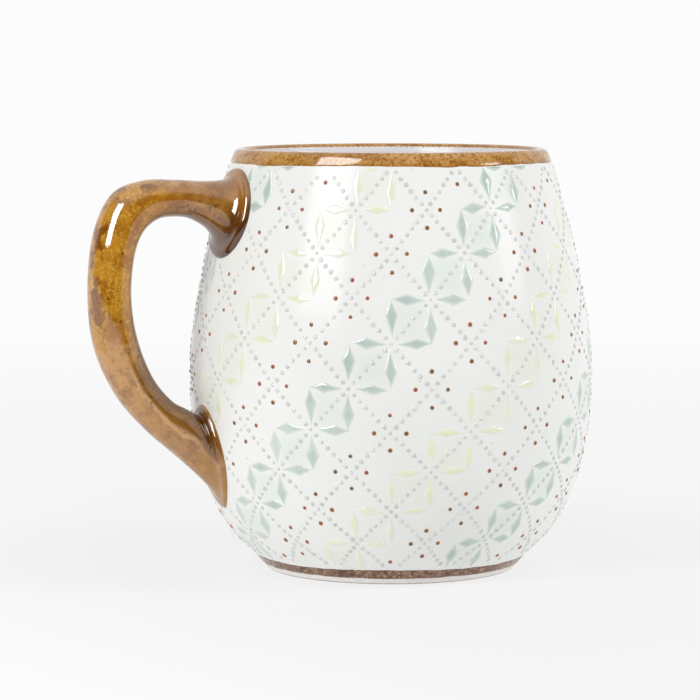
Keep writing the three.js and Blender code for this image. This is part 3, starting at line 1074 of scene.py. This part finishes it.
def lay_leaves(name, kind, half_width, lift, material):
    """Four leaves round each crossing of a chain. Each is a low pillow, pointed at both ends
    and widest a little beyond its middle. It thins out under the bands and the pads."""
    points, depths, faces = [], [], []
    along = np.linspace(0, 1, LEAF_ALONG + 1)[:, None]
    across = np.linspace(-1, 1, LEAF_ACROSS + 1)[None, :]
    outline = np.minimum(along / LEAF_WIDEST, (1 - along) / (1 - LEAF_WIDEST)) ** 1.25
    shape = LEAF_TIP + (1 - LEAF_TIP) * outline
    pillow = (1 - across**2) * outline**0.5
    tint = (1 - across**2) * outline**0.35
    share = LEAF_START + (LEAF_END - LEAF_START) * along
    for (column, row), (turn, height) in crossings.items():
        if (column + row) % KINDS != kind:
            continue
        for step_across, step_down in FOUR_WAYS:
            wide = half_width * random.uniform(0.85, 1.12) * (1 if step_down else SIDE_LEAF_WIDTH)
            tilt = random.uniform(-LEAF_TILT, LEAF_TILT)
            shift_turn, shift_up = aside(LEAF_WANDER)
            rise = row_height(row + step_down * share) - row_height(row)
            offset = across * wide * shape
            centre_turn = turn + shift_turn + step_across * COLUMN_STEP * share
            centre_height = height + shift_up + rise
            if step_down:
                radius = side_radius(np.clip(centre_height, 0, DECORATION_TOP))
                leaf_turn = centre_turn + (offset + tilt * (rise - rise.mean())) / radius
                leaf_height = centre_height + 0 * across
            else:
                leaf_turn = centre_turn + 0 * across
                leaf_height = centre_height + offset + tilt * (share - 0.5) * COLUMN_STEP * BELLY_RADIUS
            bare = smooth_step(LEAF_TOP, LEAF_TOP - LEAF_FADE, leaf_height)
            bare *= smooth_step(LEAF_BOTTOM, LEAF_BOTTOM + LEAF_FADE, leaf_height)
            bare *= ~under_pad(leaf_turn, leaf_height, 0)
            if bare.max() < 0.5:
                continue
            leaf_height = np.clip(leaf_height, LEAF_BOTTOM - LEAF_RUN_ON, LEAF_TOP + LEAF_RUN_ON)
            proud = (lift * pillow + LEAF_SUNK / 4) * bare - LEAF_SUNK / 2
            faces += leaf_faces(len(points) * tint.size)
            points.append(on_wall(leaf_turn, leaf_height, proud).reshape(-1, 3))
            points.append(on_wall(leaf_turn, leaf_height, -LEAF_SUNK).reshape(-1, 3))
            depths += [tint.ravel(), 0 * tint.ravel()]
    values = {"depth": np.concatenate(depths)}
    add_piece(name, np.concatenate(points), faces, material, values=values)


def leaf_faces(base):
    """The top, the bottom and the rim of the leaf whose points start at that number."""
    wide = LEAF_ACROSS + 1
    count = (LEAF_ALONG + 1) * wide
    faces = []
    for i in range(LEAF_ALONG):
        for j in range(LEAF_ACROSS):
            a = base + i * wide + j
            faces.append((a, a + 1, a + 1 + wide, a + wide))
            faces.append((a + wide + count, a + 1 + wide + count, a + 1 + count, a + count))
    rim = [base + j for j in range(LEAF_ACROSS)]
    rim += [base + i * wide + LEAF_ACROSS for i in range(LEAF_ALONG)]
    rim += [base + LEAF_ALONG * wide + j for j in range(LEAF_ACROSS, 0, -1)]
    rim += [base + i * wide for i in range(LEAF_ALONG, 0, -1)]
    for p, q in zip(rim, rim[1:] + rim[:1]):
        faces.append((q, p, p + count, q + count))
    return faces


lay_leaves("celadon_leaves", CELADON_KIND, 1.85 * MM, 0.3 * MM, CELADON)
lay_leaves("lime_leaves", LIME_KIND, 1.45 * MM, 0.22 * MM, LIME)
lay_beads()
lay_dots()

# ---- Floor, world and lights ----

# The viewpoint, as an azimuth from -Y towards +X.
VIEW_AZIMUTH = -22.5
VIEW_DISTANCE = 836 * MM
VIEW_HEIGHT = 132.8 * MM
VIEW_PITCH = 5.326
VIEW_TURN_ASIDE = 0.705
VIEW_LENS = 170.5
VIEW_SENSOR = 36

# How far the floor reaches and where it changes, and how brightly it glows.
FLOOR_REACH = 6.0
FLOOR_SIDES = 96
FLOOR_FADE = (0.04, 0.2)
FLOOR_LEAST_GLOW = 0.8
FLOOR_NEAR = (-0.14, 0.0)
# The floor's dimmer glow at +X near the mug: a painted shadow.
FLOOR_SHADED_GLOW = 0.92
FLOOR_FAR = (0.25, 0.8)
BACKDROP_LIGHT = 0.975
TABLE_EDGE = (0.34, 0.4)


def direction(azimuth, elevation):
    """The way to a light: azimuth from -Y towards +X, and elevation above the horizon."""
    a, e = azimuth * DEGREE, elevation * DEGREE
    return Vector((math.sin(a) * math.cos(e), -math.cos(a) * math.cos(e), math.sin(e)))


VIEW_WAY = direction(VIEW_AZIMUTH, 0)


def make_floor():
    """A pale floor. It takes the mug's soft shadow nearby, and glows evenly farther away, so
    that it has no horizon; between the two, its glow dims towards +X as a painted shadow.
    In glossy surfaces it ends in front of the mug, like a table."""
    bpy.ops.mesh.primitive_circle_add(vertices=FLOOR_SIDES, radius=FLOOR_REACH, fill_type="NGON")
    floor = bpy.context.object
    floor.name = "floor"
    m = Recipe("floor", 0.6, specular=0.1)
    m.finish(m.mix(m.ramp(m.noise(60 * MM, 2), 0.3, 0.7), "#f7f7f7", "#f5f5f5"))
    away = m.add("VectorMath", {0: m.place}, operation="LENGTH").outputs["Value"]
    # Painted shadow: near the mug the glow dims from the backdrop's brightness at -X to a dimmer glow at +X.
    near = m.ramp(m.axis("X"), *FLOOR_NEAR, BACKDROP_LIGHT, FLOOR_SHADED_GLOW)
    light = m.blend(m.ramp(away, *FLOOR_FAR), near, BACKDROP_LIGHT)
    glow = m.add("Emission", {"Color": light, "Strength": 1.0}).outputs[0]
    glows = m.ramp(away, *FLOOR_FADE, FLOOR_LEAST_GLOW)
    lit = m.add("MixShader", {0: glows, 1: m.shader.outputs[0], 2: glow}).outputs[0]
    mirrored = m.add("LightPath").outputs["Is Glossy Ray"]
    ended = m.times(m.ramp(m.towards(VIEW_WAY), *TABLE_EDGE), mirrored)
    dark = m.add("Emission", {"Strength": 0.0}).outputs[0]
    table = m.add("MixShader", {0: ended, 1: lit, 2: dark}).outputs[0]
    m.tree.links.new(table, m.tree.nodes["Material Output"].inputs["Surface"])
    floor.data.materials.append(m.material)


# How brightly the studio lights dull surfaces, and shows in glossy ones on its walls and its
# dark side. The pairs are where that side starts and is full: towards the viewpoint, and
# from the zenith down.
ROOM_LIGHT = 0.425
WALLS_LIGHT = 1.0
DARK_SIDE_LIGHT = 0.03
DARK_SIDE = (-0.42, -0.12)
DARK_BELOW = (0.85, 0.5)


def make_world():
    """An even white studio. In glossy surfaces it is dark on the side of the viewpoint, from
    the horizon up."""
    world = bpy.data.worlds.new("studio")
    bpy.context.scene.world = world
    world.use_nodes = True
    world.node_tree.nodes.clear()
    w = Graph(world.node_tree, "Generated")
    dark = w.times(w.ramp(w.towards(VIEW_WAY), *DARK_SIDE), w.ramp(w.axis("Z"), *DARK_BELOW))
    mirrored = w.blend(dark, WALLS_LIGHT, DARK_SIDE_LIGHT)
    path = w.add("LightPath").outputs
    light = w.blend(path["Is Glossy Ray"], ROOM_LIGHT, mirrored)
    strength = w.blend(path["Is Camera Ray"], light, BACKDROP_LIGHT)
    background = w.add("Background", {"Color": "#ffffff", "Strength": strength})
    w.add("OutputWorld", {"Surface": background.outputs[0]})


# Each softbox: its azimuth from the viewpoint, its elevation, width, height and power, and
# whether it shows in glossy surfaces or lights the rest.
SOFTBOXES = {
    "left_softbox": (-46, 30, 0.4, 0.5, 7.2, False),
    "left_softbox_face": (-42.5, 30, 0.6, 0.8, 20, True),
    "right_softbox": (79, 33, 0.42, 0.45, 6.8, False),
    "right_softbox_face": (79, 20, 0.36, 0.4, 4, True),
}
SOFTBOX_DISTANCE = 1.3
MUG_MIDDLE = Vector((AXIS_X, 0, BELLY_HEIGHT))


def add_softbox(name, azimuth, elevation, width, height, power, mirrored):
    """A rectangular soft light aimed at the middle of the mug."""
    data = bpy.data.lights.new(name, "AREA")
    data.shape = "RECTANGLE"
    data.size = width
    data.size_y = height
    data.energy = power
    lamp = bpy.data.objects.new(name, data)
    way = direction(VIEW_AZIMUTH + azimuth, elevation)
    lamp.location = MUG_MIDDLE + way * SOFTBOX_DISTANCE
    lamp.rotation_mode = "QUATERNION"
    lamp.rotation_quaternion = way.to_track_quat("Z", "Y")
    lamp.visible_glossy = mirrored
    lamp.visible_diffuse = not mirrored
    bpy.context.scene.collection.objects.link(lamp)


make_floor()
make_world()
for softbox_name, softbox in SOFTBOXES.items():
    add_softbox(softbox_name, *softbox)

bpy.context.scene.view_settings.view_transform = "Standard"

# ---- Camera ----


def make_camera():
    """The camera, at the viewpoint and aimed a little to one side of the mug's axis."""
    data = bpy.data.cameras.new("camera")
    data.lens = VIEW_LENS
    data.sensor_width = VIEW_SENSOR
    data.clip_start = 0.05
    data.clip_end = 30
    camera = bpy.data.objects.new("camera", data)
    camera.location = Vector((AXIS_X, 0, VIEW_HEIGHT)) + VIEW_WAY * VIEW_DISTANCE
    camera.rotation_euler = ((90 - VIEW_PITCH) * DEGREE, 0, (VIEW_AZIMUTH + VIEW_TURN_ASIDE) * DEGREE)
    bpy.context.scene.collection.objects.link(camera)
    bpy.context.scene.camera = camera


make_camera()
